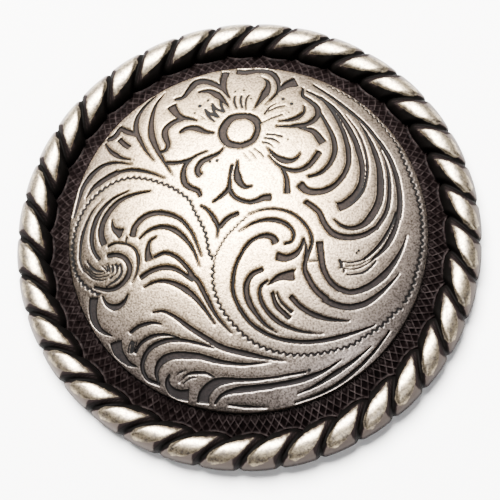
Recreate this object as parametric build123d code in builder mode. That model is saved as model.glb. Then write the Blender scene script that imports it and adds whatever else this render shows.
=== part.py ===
from build123d import *
import math
import os

# Round engraved concho with a rope edge and a hollow back, in millimetres.
# Z = 0 is the flat back of the rim, +Z points out of the face, +Y towards the flower.

overall_radius = 19.0          # to the outer tips of the rope strands
strand_count = 36
groove_first_angle = 1.4       # degrees from +X to the first groove between strands
strand_lean = 38.0             # degrees that a strand leans from the radius, clockwise outward
rope_radius = 1.49             # half the rope's thickness
groove_radius = 0.50           # the round hollow between two strands
groove_lift = 0.12             # its middle lies this far above the rope's surface
rope_centre_height = 1.25      # the rope's lower side is flattened at the back
rope_ring_radius = overall_radius - rope_radius

border_outer_radius = 16.05
field_radius = 14.38           # the engraved field
field_edge_height = 2.85
dome_rise = 3.23               # from the field's edge to the apex
rim_radius = 14.52             # the plain rim of the dome, just outside the field
border_step = 0.48             # the rim stands this far above the matted border
cut_depth = 0.24               # the engraving's floor below the dome
least_cut_width = 0.08

wall = 1.40
cavity_radius = 14.80

boss_radius = 4.60
boss_face_height = 3.50
socket_radius = 2.60
socket_top_height = 4.55

post_spigot_radius = 2.57
post_radius = 3.25
post_foot_height = 0.20
thread_bore_radius = 1.65      # bored for a 4 mm screw
thread_bore_top = 4.00
post_edge_break = 0.35

# The engraving. Each row is one cut: its start, middle and end width, then points along
# its middle line, all in hundredths of the field's radius, +X right and +Y to the flower.
FLOWER = (
    (3.8, 4.8, 3.6, (1.5, 66.5), (-6.8, 65.2), (-11.9, 56), (-8.8, 48.9), (-1.5, 46.6)),
    (3.8, 3, 3.6, (1.5, 66.5), (6.2, 63), (7.9, 57.5), (5.2, 50), (-1.5, 46.6)),
    (1.5, 3, 0.3, (2.5, 67.5), (6.8, 64.3), (10.3, 60.8)),
    (3.6, 3, 0.2, (-5.2, 98.3), (0, 97.7), (7, 98.7), (14, 97.3), (18.4, 91.5), (18.6, 83),
     (12.3, 73.9)),
    (6.5, 4, 2, (29, 90.2), (24, 88), (18.5, 83.5)),
    (0.2, 4.6, 0.2, (9.2, 94), (12.8, 90), (12.6, 84.5), (5.6, 70.8)),
    (4.4, 3.6, 0.2, (-11.6, 98.2), (-12.8, 91.5), (-12.2, 86.5), (-10.5, 82.5), (-8.3, 78.8)),
    (1.5, 4.4, 2.4, (-40.8, 81), (-36, 81.8), (-32.3, 86.8), (-28.6, 91.8), (-24.5, 92.6),
     (-19, 90.6), (-12.5, 85.8)),
    (1, 4.2, 0.2, (-27, 84.8), (-21, 85), (-15.5, 81.5), (-12, 77.5), (-8.7, 72.8)),
    (0.6, 2.6, 0.8, (34, 73.4), (33.6, 68.8), (30, 65), (25.5, 63.3), (20, 62.6)),
    (1.2, 3.2, 2.4, (33, 85.8), (32.9, 80.5), (37, 76.8), (41.1, 72), (41.2, 66.5), (36.5, 61.3),
     (28.5, 59.4)),
    (2.6, 1.6, 0.8, (34, 60), (26, 59.2), (18.2, 59.2)),
    (1.4, 3.4, 4.4, (31, 58.6), (38.8, 56.2), (44.4, 48.8)),
    (3, 2.4, 0.6, (42.6, 43), (39.8, 38.5), (36, 33.6), (30.5, 31), (24.5, 31.6), (19, 35),
     (14.4, 40.4)),
    (0.2, 3.8, 0.2, (13.2, 45.8), (19, 39), (25, 36.8), (29.6, 38.4), (32.6, 42.4)),
    (1.4, 2.4, 3.2, (21.5, 33.4), (24.2, 26.5), (24.8, 17.2)),
    (0.2, 4.2, 0.8, (-2.8, 38.2), (-3.4, 30.5), (-1.9, 24.6), (1.6, 21), (5.4, 21.6)),
    (1.6, 1, 2.4, (-5.8, 34.8), (-7, 28.5), (-7.4, 20.5)),
    (2.2, 1.9, 3.8, (-7.6, 20.5), (-5, 16), (-1, 13.2), (4, 12), (8.6, 13), (12, 14.6), (15.8, 14.6)),
    (2.4, 1.8, 0.8, (-7.8, 20), (-11.4, 16.4), (-16.6, 12.6)),
    (0.4, 3, 3, (-10.5, 46.4), (-13.6, 42.8), (-18.5, 40.2), (-23.2, 37.6), (-25.4, 33.8),
     (-25.2, 31), (-23.6, 29.2)),
    (0.6, 1.8, 2.2, (-20.2, 44.4), (-25.4, 42.4), (-30, 39.8), (-36, 38.2), (-43.6, 38.6)),
    (1.6, 3.4, 2, (-29.2, 40.2), (-32.6, 36), (-33.6, 29.8), (-32.2, 24.8), (-28.8, 21.8),
     (-25.2, 20), (-23.4, 16.6)),
    (5.4, 3, 0.6, (-42.4, 76.6), (-39.6, 71.6), (-35.8, 67.8), (-31, 66.4), (-26.6, 64.8)),
    (2.6, 3.8, 1.4, (-35.5, 66.8), (-41, 64.8), (-45, 60.4), (-44.6, 55.2), (-43, 50.4),
     (-44.4, 46.8), (-47.6, 46)),
    (1.8, 3.6, 1, (-36.4, 57.8), (-32.5, 60), (-27.6, 59.8), (-22, 57), (-16.8, 55.8)),
)
LEFT_LEAVES = (
    (0.2, 4, 0.2, (-46.7, 86.6), (-51.4, 79), (-53.6, 68), (-53, 58), (-50, 49.6), (-45.4, 40.6),
     (-39.9, 30.6)),
    (1, 3.2, 0.4, (-52.4, 85), (-58, 79), (-62.2, 71), (-62.6, 63), (-59.2, 54.4), (-55.4, 47.2),
     (-50.8, 40.8)),
    (2.6, 3.4, 2.6, (-79.6, 58.8), (-75.6, 60), (-72.2, 65.6)),
    (2.2, 3.4, 2.6, (-72.6, 66.2), (-68.4, 62.8), (-62.4, 59.6)),
    (2.8, 3, 2.8, (-72.4, 58), (-69.3, 54.4), (-65.8, 51.4)),
    (0.8, 2.8, 0.4, (-81, 56.6), (-77.4, 51.2), (-73.8, 47.8), (-70, 45.2), (-64.6, 43.4)),
    (0.4, 3.2, 1, (-64.2, 40.2), (-72.8, 42.7), (-81, 42.1), (-87.8, 37.5), (-93, 30.3),
     (-95.4, 21.6), (-97.8, 12.2)),
    (0.6, 3.4, 3.2, (-90.6, 23.2), (-87, 28.4), (-82.4, 31.6), (-77.4, 34.2), (-72, 36.4)),
    (2.2, 1.7, 0.4, (-72.4, 36), (-65.6, 36.8), (-58, 35.4), (-50.8, 32.6), (-44.2, 29.2)),
)
LEFT_SCROLL = (
    (0.4, 2.8, 1.8, (-65, 23.8), (-74.8, 19.8), (-82.2, 12.4), (-85.9, 3), (-86.3, -4.6),
     (-84.5, -10.2), (-81.3, -15)),
    (0.6, 3.2, 3.6, (-52.4, 22), (-62, 21.2), (-70.8, 18), (-77, 11.8), (-80.2, 5), (-80.6, -1),
     (-78.8, -6.6)),
    (0.2, 1.7, 0.7, (-80.6, 20.8), (-86.4, 14.4), (-90.2, 6.6), (-92.4, -1), (-93.2, -8),
     (-92.9, -15), (-90.5, -20.4)),
    (2.4, 3, 1.6, (-76.8, -13.2), (-71.4, -13.2), (-67.1, -15.1), (-64.4, -18.6), (-63.5, -22.2),
     (-64.7, -26), (-67.3, -29.3), (-70.8, -31.6), (-75, -32.4), (-79.2, -31.7), (-84.6, -29.8)),
    (0.3, 2.2, 4.6, (-74.6, 7.6), (-73.4, 2.4), (-69.6, -0.8)),
    (4.2, 3, 0.2, (-69.8, 0.6), (-69.8, -1.5), (-70.3, -4)),
    (2, 2, 1, (-71, 0), (-69, 0.6), (-67.4, 1.4)),
    (1.2, 0.7, 1, (-76.6, -7.9), (-73.6, -6.8), (-71.4, -6.5), (-65.9, -7.6)),
    (0.9, 1.9, 0.4, (-65.9, -7.6), (-63, -9.1), (-60.6, -11.2), (-59.1, -14.2), (-58.4, -17.6),
     (-58.6, -21.2), (-59.5, -25), (-62.2, -30.1)),
    (0.8, 0.8, 0.6, (-65.1, -3.6), (-65.7, -5.4), (-65.8, -8)),
    (3.6, 2.2, 0.6, (-62.2, -3.8), (-60.6, 2), (-55.4, 7), (-47.6, 8.6), (-36, 4.6),
     (-28.4, -4.2), (-22.8, -18.4)),
    (1, 2.8, 0.3, (-58.2, -5.6), (-53.6, -1.8), (-46.4, 0.2), (-38.8, -1.8), (-32, -7.6),
     (-27, -15), (-23.8, -24.4)),
    (0.6, 2, 4.6, (-48.4, -5.4), (-52, -7.6), (-53, -11), (-53, -14.8), (-52.2, -18.4)),
    (1.6, 2, 2.2, (-49.6, -16.8), (-43.4, -15), (-37.4, -17.4), (-31.6, -23), (-26.6, -30.2)),
    (2.4, 2.6, 1.6, (-57.4, -27.8), (-51, -24.4), (-43.4, -23), (-36.6, -24.8), (-27.6, -31.4)),
    (2.6, 2.2, 0.3, (-30, -27), (-24.8, -32), (-20.6, -40), (-15, -50.6), (-6.6, -60.8)),
    (0.6, 3.2, 0.5, (-55.4, -33.2), (-49.4, -30.8), (-42.6, -30.8), (-34.4, -34.2),
     (-26.8, -40.2), (-21, -47.4), (-15.6, -55.6)),
)
LOWER_LEAVES = (
    (0.4, 3.6, 0.6, (-79.6, -35.4), (-77, -40), (-72, -42.4), (-67.4, -40.6), (-64.4, -35.8)),
    (5.2, 3.6, 0.6, (-84.6, -35.8), (-85.4, -42), (-84.4, -48.4), (-80.6, -54), (-74, -57.8)),
    (7, 4.2, 0.6, (-72, -61), (-70.6, -66.6), (-67.6, -70.6), (-64.4, -73.4), (-60.4, -75)),
    (1.8, 1.9, 0.8, (-63.6, -57), (-58.6, -54), (-53, -52.8), (-49.4, -52.8), (-45.6, -53.8)),
    (1.2, 2, 0.5, (-61, -68), (-57.6, -63.2), (-52, -60.2), (-44.4, -59.4), (-35.4, -61.6)),
    (1.6, 2.6, 0.8, (-47.4, -85.2), (-54.4, -81.8), (-57, -74.6), (-53, -66.8), (-43.6, -62.8),
     (-32, -63.4), (-16.4, -67.8)),
    (0.8, 4, 3.8, (-48, -84), (-49, -79), (-46.4, -73.8), (-41, -71), (-32, -70.8)),
    (3.8, 2, 0.4, (-34, -70.8), (-24, -72), (-14.6, -74.8), (0, -76.8), (14.6, -75.8)),
    (0.8, 2.2, 2.8, (-50.4, -47.2), (-45, -46.9), (-38.4, -50), (-29.6, -56.6), (-16, -65.6)),
    (2.8, 2.8, 0.3, (-18, -64.6), (-10, -68.4), (0, -71), (11.6, -73.6), (22.6, -75.4)),
    (0.8, 4, 6, (-41.6, -80.2), (-43, -84.4), (-41, -88.6), (-36.8, -91), (-31.4, -91.6)),
    (0.4, 1.6, 0.8, (-36.4, -85), (-31.6, -81), (-25.6, -80.4), (-21, -80.8), (-16.8, -83)),
    (6.6, 5, 2.4, (-23.4, -96), (-22.6, -91.8), (-19.4, -88), (-14.6, -85.6), (-6, -84.6)),
    (2.2, 1.1, 1, (-8, -84.8), (4, -84.8), (14, -84), (24, -82.4), (33.4, -80.8)),
    (0.8, 3.4, 2.8, (-17, -96.8), (-13.2, -92.6), (-6, -90.2), (4, -89.2), (15, -88)),
    (2.6, 2.8, 0.4, (13, -88.2), (24, -86.4), (34, -83.8), (44, -79.6), (52.4, -74.2)),
    (0.4, 2.6, 0.4, (28.4, -92.2), (39, -87.4), (49.4, -81), (59.6, -74.2), (69, -66.4)),
    (0.6, 2.3, 0.8, (27, -96.6), (41, -91.6), (52, -85.6), (62.4, -77.4), (70.6, -69),
     (75.4, -62.8), (79.2, -57.6)),
    (0.6, 1.4, 0.4, (-9.4, -97.4), (0, -98.4), (12, -99)),
)
MIDDLE_SCROLL = (
    (0.8, 2.4, 0.3, (-23.4, 11), (-19.4, 8), (-16, 3.4), (-13.6, -2.4), (-14.2, -8.8)),
    (2.2, 2.4, 2.4, (-2.2, 5.6), (-7.6, 3.2), (-12.8, -2.2)),
    (0.4, 1.2, 1.8, (3.4, 4.4), (10, 7), (18, 7.7), (27.5, 5), (35, -1.8), (38.2, -10),
     (35.9, -18)),
    (0.2, 2.4, 1, (-1.8, -5.2), (6.4, -0.2), (15, 1.5), (23.4, -0.6), (28, -5.6), (27.4, -10.4),
     (23, -12.4)),
    (3.8, 2, 1.6, (18.4, -12), (16.6, -8.8), (12.2, -7.6), (5.6, -10), (0, -16)),
    (1.4, 1.8, 1.6, (1.2, -14.6), (-3, -22.4), (-5.2, -31), (-5, -40), (-1.4, -48.6)),
    (1.6, 1.8, 2, (-2, -47.6), (3.6, -55), (11.4, -60.6), (21.4, -64.2), (33, -65.4)),
    (2, 2.2, 0.5, (31, -65.4), (41, -64.6), (51, -62.4), (61.6, -59), (71.4, -55)),
    (2.4, 3, 0.4, (11, -26.4), (5, -29.4), (2, -35.2), (3, -43.4), (7.6, -51.2), (12.8, -57),
     (18.6, -61)),
    (1.4, 2.3, 0.3, (13.6, -32.6), (9.6, -36.4), (9.8, -43), (14, -50.2), (21.4, -56.2),
     (31.4, -59.8), (43.4, -61)),
    (1.6, 2.4, 2.2, (16, -39), (18.4, -46), (25.4, -53)),
    (0.8, 1.2, 1.4, (18.4, -39.4), (21, -44.6), (26.6, -49.8)),
    (2.4, 2.6, 0.6, (25.8, -41), (31, -46.4), (38, -50.6), (46.6, -53), (57.6, -53.6)),
    (4.4, 3, 0.3, (18.8, -19.2), (23.6, -20.2), (28.4, -18.4), (31.8, -14.4), (33.7, -8.4)),
    (0.4, 1.4, 2.2, (33.8, -9.4), (35, -15.4), (34.6, -20.6)),
    (1.8, 2.8, 3.2, (35.8, -18), (33.8, -25.4), (36.3, -32.1), (40, -37.8), (45.5, -42.4)),
    (3.2, 3.2, 0.4, (43.6, -42.2), (50.6, -45.2), (58, -46), (66.4, -43.6), (74, -38.2),
     (80, -32.2), (85.2, -26.2)),
    (3.8, 3, 2.6, (42.2, -10.8), (42.8, -18), (44, -25.6), (47.6, -32.6), (53, -37.2)),
    (2.6, 3.8, 0.3, (51.4, -35.9), (58, -37.9), (66.4, -35.5), (75, -29.4), (81.6, -21.7),
     (86.6, -13), (90, -4.2)),
    (0.5, 0.6, 0.5, (36.2, -22), (38.5, -21.6), (41, -21.4)),
    (0.3, 3.4, 6, (13.2, -35.3), (20, -30.8), (27.8, -29.5)),
    (1.6, 1.2, 0.2, (26, -28.6), (27.6, -27.6), (29, -26.4)),
)
RIGHT_FEATHERS = (
    (1.4, 3, 1.4, (42.4, 69.4), (46.4, 61.4), (50.2, 52), (50.9, 43.6), (47.8, 35.2),
     (42.6, 29.6), (36.2, 27.2)),
    (0.8, 2.2, 2.8, (35, 83.8), (44.4, 77.6), (51.2, 67.6), (56, 56), (58.6, 45)),
    (2.8, 2.6, 4.4, (58.3, 47), (58.3, 36), (53.6, 25.8), (46.8, 19.8), (39.6, 18.2), (35, 19.2),
     (31.6, 22.8)),
    (0.6, 2.6, 3.2, (43, 80), (51, 72), (57.4, 61.8), (62.2, 51.6), (65.2, 41)),
    (3.2, 2.8, 5, (65, 42.6), (66.2, 33), (64.8, 23.4), (61.6, 17.2), (58, 13.2), (55.6, 11),
     (52.6, 9.8)),
    (0.3, 1.3, 1.6, (57.4, 67.6), (64.4, 56), (68.2, 43), (69, 33), (66.8, 21.6), (62.4, 14.6),
     (57, 10)),
    (0.3, 2.6, 3.8, (64.4, 64.4), (69, 55.6), (72.8, 46), (75.4, 36), (76.2, 26)),
    (3.8, 4, 0.6, (76.2, 28), (75.2, 15.4), (70.4, 5.2), (65.5, -0.2), (59.5, -2.2), (54.5, -1.2),
     (50.2, 2.4)),
    (0.4, 2.1, 2.3, (76.4, 47.6), (80, 35.6), (81, 22.6), (79, 9), (73, -1.6)),
    (2.3, 3.4, 2.6, (74, -0.4), (66.4, -5.6), (57.4, -7.6), (49.6, -5.8), (44.8, 0), (41.8, 6.6),
     (34.7, 12.4)),
    (0.8, 1.8, 1.6, (38.8, 88.2), (48.4, 80.8), (58.6, 71.8), (68.6, 61.8), (76.4, 50.8)),
    (1.8, 2.6, 3, (75.6, 52.4), (81.6, 41.4), (85.4, 28.6), (86.6, 15), (85.4, 5)),
    (1.2, 1.9, 1.2, (84.3, 8.6), (81.4, 0.6), (77.6, -6.7), (74.4, -11.3), (70.5, -15.6), (66.1, -19.5)),
    (2.2, 2.8, 1, (85.6, 6.6), (83.3, -1.5), (80.7, -7.2), (77.8, -12.1), (74, -16.2), (70.3, -19.6)),
)


def share_of_field(value):
    return value * field_radius / 100.0


def cut_width(widths, share):
    start, middle, end = widths
    if share < 0.5:
        size = start + (middle - start) * share * 2
    else:
        size = middle + (end - middle) * (share - 0.5) * 2
    return max(share_of_field(size), least_cut_width)


def cut_sides(row):
    """The points along both sides of one cut, from its row of widths and points."""
    widths = row[:3]
    line = [Vector(share_of_field(x), share_of_field(y)) for x, y in row[3:]]
    last = len(line) - 1
    one_side = []
    other_side = []
    for i, point in enumerate(line):
        along = (line[min(i + 1, last)] - line[max(i - 1, 0)]).normalized()
        if i == 0:
            along = ((line[1] - line[0]) * 2 - (line[2] - line[0]) * 0.5).normalized()
        if i == last:
            along = ((line[last] - line[last - 1]) * 2 - (line[last] - line[last - 2]) * 0.5).normalized()
        across = Vector(-along.Y, along.X) * (cut_width(widths, i / last) / 2)
        one_side.append(point + across)
        other_side.append(point - across)
    return one_side, other_side


dome_radius = (field_radius ** 2 + dome_rise ** 2) / (2 * dome_rise)
apex_height = field_edge_height + dome_rise
dome_centre_height = apex_height - dome_radius
inner_radius = dome_radius - wall
cavity_edge_height = dome_centre_height + math.sqrt(inner_radius ** 2 - cavity_radius ** 2)
half_rim = rim_radius / 2
half_cavity = cavity_radius / 2
face_middle = (half_rim, dome_centre_height + math.sqrt(dome_radius ** 2 - half_rim ** 2))
back_middle = (half_cavity, dome_centre_height + math.sqrt(inner_radius ** 2 - half_cavity ** 2))
rim_height = dome_centre_height + math.sqrt(dome_radius ** 2 - rim_radius ** 2)
border_top_height = rim_height - border_step

# The engraving as one tool: upright cuts whose floors all lie on one deeper dome.
with BuildPart() as engraving:
    for row in FLOWER + LEFT_LEAVES + LEFT_SCROLL + LOWER_LEAVES + MIDDLE_SCROLL + RIGHT_FEATHERS:
        sides = cut_sides(row)
        with BuildSketch(Plane.XY.offset(field_edge_height - 1.0)):
            with BuildLine():
                Spline(*sides[0])
                Line(sides[0][-1], sides[1][-1])
                Spline(*reversed(sides[1]))
                Line(sides[1][0], sides[0][0])
            make_face()
        extrude(amount=dome_rise + 2.0)
    with Locations((0, 0, dome_centre_height)):
        Sphere(dome_radius - cut_depth, mode=Mode.SUBTRACT)

# One hollow between two strands: a ring round the rope that leans from the radius.
with BuildPart() as groove:
    with BuildLine(Plane.XZ) as ring_path:
        EllipticalCenterArc((0, 0), rope_radius / math.cos(math.radians(strand_lean)) + groove_lift,
                            rope_radius + groove_lift, arc_size=360)
    ring = ring_path.wires()[0]
    with BuildSketch(Plane(origin=ring @ 0, z_dir=ring % 0)):
        Circle(groove_radius)
    sweep(path=ring)

# The rope edge: a round ring, hollowed between its strands and flattened at the back.
with BuildPart() as rope:
    with Locations((0, 0, rope_centre_height)):
        Torus(rope_ring_radius, rope_radius)
        with PolarLocations(rope_ring_radius, strand_count, start_angle=groove_first_angle):
            add(groove.part, rotation=(0, 0, -strand_lean), mode=Mode.SUBTRACT)
    with Locations((0, 0, -rope_radius)):
        Cylinder(overall_radius + 1, rope_radius * 2, mode=Mode.SUBTRACT)

# The plate: dome, matted border and hollow back in one casting with the rope edge.
with BuildPart() as face_plate:
    with BuildSketch(Plane.XZ):
        with BuildLine():
            ThreePointArc((0, apex_height), face_middle, (rim_radius, rim_height))
            Line((rim_radius, rim_height), (rim_radius, border_top_height))
            Line((rim_radius, border_top_height), (border_outer_radius, rope_centre_height))
            Line((border_outer_radius, rope_centre_height), (rope_ring_radius, rope_centre_height))
            Line((rope_ring_radius, rope_centre_height), (rope_ring_radius, 0))
            Line((rope_ring_radius, 0), (cavity_radius, 0))
            Line((cavity_radius, 0), (cavity_radius, cavity_edge_height))
            ThreePointArc((cavity_radius, cavity_edge_height), back_middle, (0, apex_height - wall))
            Line((0, apex_height - wall), (0, apex_height))
        make_face()
    revolve(axis=Axis.Z)
    with BuildSketch(Plane.XY.offset(boss_face_height)):
        Circle(boss_radius)
    extrude(amount=apex_height - wall - boss_face_height)
    with BuildSketch(Plane.XY.offset(boss_face_height)):
        Circle(socket_radius)
    extrude(amount=socket_top_height - boss_face_height, mode=Mode.SUBTRACT)
    add(engraving.part, mode=Mode.SUBTRACT)
    add(rope.part)

# The post that takes the screw from the back: a turned standoff set in the boss.
with BuildPart() as screw_post:
    with BuildSketch(Plane.XY.offset(post_foot_height)):
        Circle(post_radius)
    extrude(amount=boss_face_height - post_foot_height)
    with BuildSketch(Plane.XY.offset(boss_face_height)):
        Circle(post_spigot_radius)
    extrude(amount=socket_top_height - boss_face_height)
    chamfer(screw_post.edges().group_by(Axis.Z)[0], length=post_edge_break)
    with BuildSketch(Plane.XY.offset(post_foot_height)):
        Circle(thread_bore_radius)
    extrude(amount=thread_bore_top - post_foot_height, mode=Mode.SUBTRACT)
    chamfer(screw_post.edges().group_by(Axis.Z)[0].sort_by(SortBy.RADIUS)[0], length=post_edge_break)

os.makedirs("parts", exist_ok=True)
face_plate.part.label = "face_plate"
screw_post.part.label = "screw_post"
export_step(face_plate.part, "parts/face_plate.step")
export_step(screw_post.part, "parts/screw_post.step")
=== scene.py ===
import bmesh
import bpy
import math
import numpy as np
from mathutils import Matrix, Vector


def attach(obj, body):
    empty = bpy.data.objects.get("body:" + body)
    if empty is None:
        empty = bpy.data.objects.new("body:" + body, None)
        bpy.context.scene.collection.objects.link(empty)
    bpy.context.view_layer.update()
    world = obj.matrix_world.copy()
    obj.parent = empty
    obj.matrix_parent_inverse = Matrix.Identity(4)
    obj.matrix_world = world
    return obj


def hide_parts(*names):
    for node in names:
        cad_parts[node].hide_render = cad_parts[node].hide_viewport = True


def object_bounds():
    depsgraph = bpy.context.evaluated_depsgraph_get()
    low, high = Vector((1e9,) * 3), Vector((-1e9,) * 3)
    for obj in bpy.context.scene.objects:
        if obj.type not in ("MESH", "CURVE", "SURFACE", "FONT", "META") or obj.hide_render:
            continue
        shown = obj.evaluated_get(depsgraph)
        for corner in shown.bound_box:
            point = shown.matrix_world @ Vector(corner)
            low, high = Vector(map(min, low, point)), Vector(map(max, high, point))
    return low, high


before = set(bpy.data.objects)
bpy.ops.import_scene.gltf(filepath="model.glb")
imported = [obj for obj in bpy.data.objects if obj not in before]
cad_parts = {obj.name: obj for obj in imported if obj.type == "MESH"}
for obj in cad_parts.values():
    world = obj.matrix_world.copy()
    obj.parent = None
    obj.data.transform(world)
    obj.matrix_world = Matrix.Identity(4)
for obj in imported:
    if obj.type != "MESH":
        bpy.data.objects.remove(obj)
cad_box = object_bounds()
MM = 0.001

# Camera: the photograph's view, from in front of the flower's stem side and well above.
# The lens and the distance give the photograph's slight perspective over the 38 mm width.
concho_radius = cad_box[1][0]
tilt = math.radians(17.467)
turn = math.radians(15.395)
radii_away, radii_aside, radii_down = 8.0, 0.010825, 0.041633
aimed_height = 1.25
toward = Vector((math.sin(turn) * math.sin(tilt), -math.cos(turn) * math.sin(tilt), math.cos(tilt)))
sideways = Vector((0, 1, 0)).cross(toward).normalized()
upward = toward.cross(sideways)
eye = (toward * radii_away + sideways * radii_aside - upward * radii_down) * concho_radius
eye.z += aimed_height * MM
camera_data = bpy.data.cameras.new("camera")
camera_data.lens = 134.2
camera_data.sensor_width = 36.0
camera_data.clip_start = 0.01
camera = bpy.data.objects.new("camera", camera_data)
camera.matrix_world = Matrix((
    (sideways.x, upward.x, toward.x, eye.x),
    (sideways.y, upward.y, toward.y, eye.y),
    (sideways.z, upward.z, toward.z, eye.z),
    (0, 0, 0, 1),
))
bpy.context.collection.objects.link(camera)
bpy.context.scene.camera = camera

# Engraved dome: the middle of the one zinc casting, silver plated. Its scroll, flower and fine
# zigzag lines are cast in, then blackened in the recesses and buffed bright on the lands.
# Underneath it is hollow, with a boss for the post.

# Each row of a table is one cut: start, middle and end width, then points along its middle
# line, in hundredths of the field's radius, +X right and +Y to the flower.
FLOWER = (
    (3.8, 4.8, 3.6, (1.5, 66.5), (-6.8, 65.2), (-11.9, 56), (-8.8, 48.9), (-1.5, 46.6)),
    (3.8, 3, 3.6, (1.5, 66.5), (6.2, 63), (7.9, 57.5), (5.2, 50), (-1.5, 46.6)),
    (1.5, 3, 0.3, (2.5, 67.5), (6.8, 64.3), (10.3, 60.8)),
    (3.6, 3, 0.2, (-5.2, 98.3), (0, 97.7), (7, 98.7), (14, 97.3), (18.4, 91.5), (18.6, 83),
     (12.3, 73.9)),
    (6.5, 4, 2, (29, 90.2), (24, 88), (18.5, 83.5)),
    (0.2, 4.6, 0.2, (9.2, 94), (12.8, 90), (12.6, 84.5), (5.6, 70.8)),
    (4.4, 3.6, 0.2, (-11.6, 98.2), (-12.8, 91.5), (-12.2, 86.5), (-10.5, 82.5), (-8.3, 78.8)),
    (1.5, 4.4, 2.4, (-40.8, 81), (-36, 81.8), (-32.3, 86.8), (-28.6, 91.8), (-24.5, 92.6),
     (-19, 90.6), (-12.5, 85.8)),
    (1, 4.2, 0.2, (-27, 84.8), (-21, 85), (-15.5, 81.5), (-12, 77.5), (-8.7, 72.8)),
    (0.6, 2.6, 0.8, (34, 73.4), (33.6, 68.8), (30, 65), (25.5, 63.3), (20, 62.6)),
    (1.2, 3.2, 2.4, (33, 85.8), (32.9, 80.5), (37, 76.8), (41.1, 72), (41.2, 66.5), (36.5, 61.3),
     (28.5, 59.4)),
    (2.6, 1.6, 0.8, (34, 60), (26, 59.2), (18.2, 59.2)),
    (1.4, 3.4, 4.4, (31, 58.6), (38.8, 56.2), (44.4, 48.8)),
    (3, 2.4, 0.6, (42.6, 43), (39.8, 38.5), (36, 33.6), (30.5, 31), (24.5, 31.6), (19, 35),
     (14.4, 40.4)),
    (0.2, 3.8, 0.2, (13.2, 45.8), (19, 39), (25, 36.8), (29.6, 38.4), (32.6, 42.4)),
    (1.4, 2.4, 3.2, (21.5, 33.4), (24.2, 26.5), (24.8, 17.2)),
    (0.2, 4.2, 0.8, (-2.8, 38.2), (-3.4, 30.5), (-1.9, 24.6), (1.6, 21), (5.4, 21.6)),
    (1.6, 1, 2.4, (-5.8, 34.8), (-7, 28.5), (-7.4, 20.5)),
    (2.2, 1.9, 3.8, (-7.6, 20.5), (-5, 16), (-1, 13.2), (4, 12), (8.6, 13), (12, 14.6), (15.8, 14.6)),
    (2.4, 1.8, 0.8, (-7.8, 20), (-11.4, 16.4), (-16.6, 12.6)),
    (0.4, 3, 3, (-10.5, 46.4), (-13.6, 42.8), (-18.5, 40.2), (-23.2, 37.6), (-25.4, 33.8),
     (-25.2, 31), (-23.6, 29.2)),
    (0.6, 1.8, 2.2, (-20.2, 44.4), (-25.4, 42.4), (-30, 39.8), (-36, 38.2), (-43.6, 38.6)),
    (1.6, 3.4, 2, (-29.2, 40.2), (-32.6, 36), (-33.6, 29.8), (-32.2, 24.8), (-28.8, 21.8),
     (-25.2, 20), (-23.4, 16.6)),
    (5.4, 3, 0.6, (-42.4, 76.6), (-39.6, 71.6), (-35.8, 67.8), (-31, 66.4), (-26.6, 64.8)),
    (2.6, 3.8, 1.4, (-35.5, 66.8), (-41, 64.8), (-45, 60.4), (-44.6, 55.2), (-43, 50.4),
     (-44.4, 46.8), (-47.6, 46)),
    (1.8, 3.6, 1, (-36.4, 57.8), (-32.5, 60), (-27.6, 59.8), (-22, 57), (-16.8, 55.8)),
)
LEFT_LEAVES = (
    (0.2, 4, 0.2, (-46.7, 86.6), (-51.4, 79), (-53.6, 68), (-53, 58), (-50, 49.6), (-45.4, 40.6),
     (-39.9, 30.6)),
    (1, 3.2, 0.4, (-52.4, 85), (-58, 79), (-62.2, 71), (-62.6, 63), (-59.2, 54.4), (-55.4, 47.2),
     (-50.8, 40.8)),
    (2.6, 3.4, 2.6, (-79.6, 58.8), (-75.6, 60), (-72.2, 65.6)),
    (2.2, 3.4, 2.6, (-72.6, 66.2), (-68.4, 62.8), (-62.4, 59.6)),
    (2.8, 3, 2.8, (-72.4, 58), (-69.3, 54.4), (-65.8, 51.4)),
    (0.8, 2.8, 0.4, (-81, 56.6), (-77.4, 51.2), (-73.8, 47.8), (-70, 45.2), (-64.6, 43.4)),
    (0.4, 3.2, 1, (-64.2, 40.2), (-72.8, 42.7), (-81, 42.1), (-87.8, 37.5), (-93, 30.3),
     (-95.4, 21.6), (-97.8, 12.2)),
    (0.6, 3.4, 3.2, (-90.6, 23.2), (-87, 28.4), (-82.4, 31.6), (-77.4, 34.2), (-72, 36.4)),
    (2.2, 1.7, 0.4, (-72.4, 36), (-65.6, 36.8), (-58, 35.4), (-50.8, 32.6), (-44.2, 29.2)),
)
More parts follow.
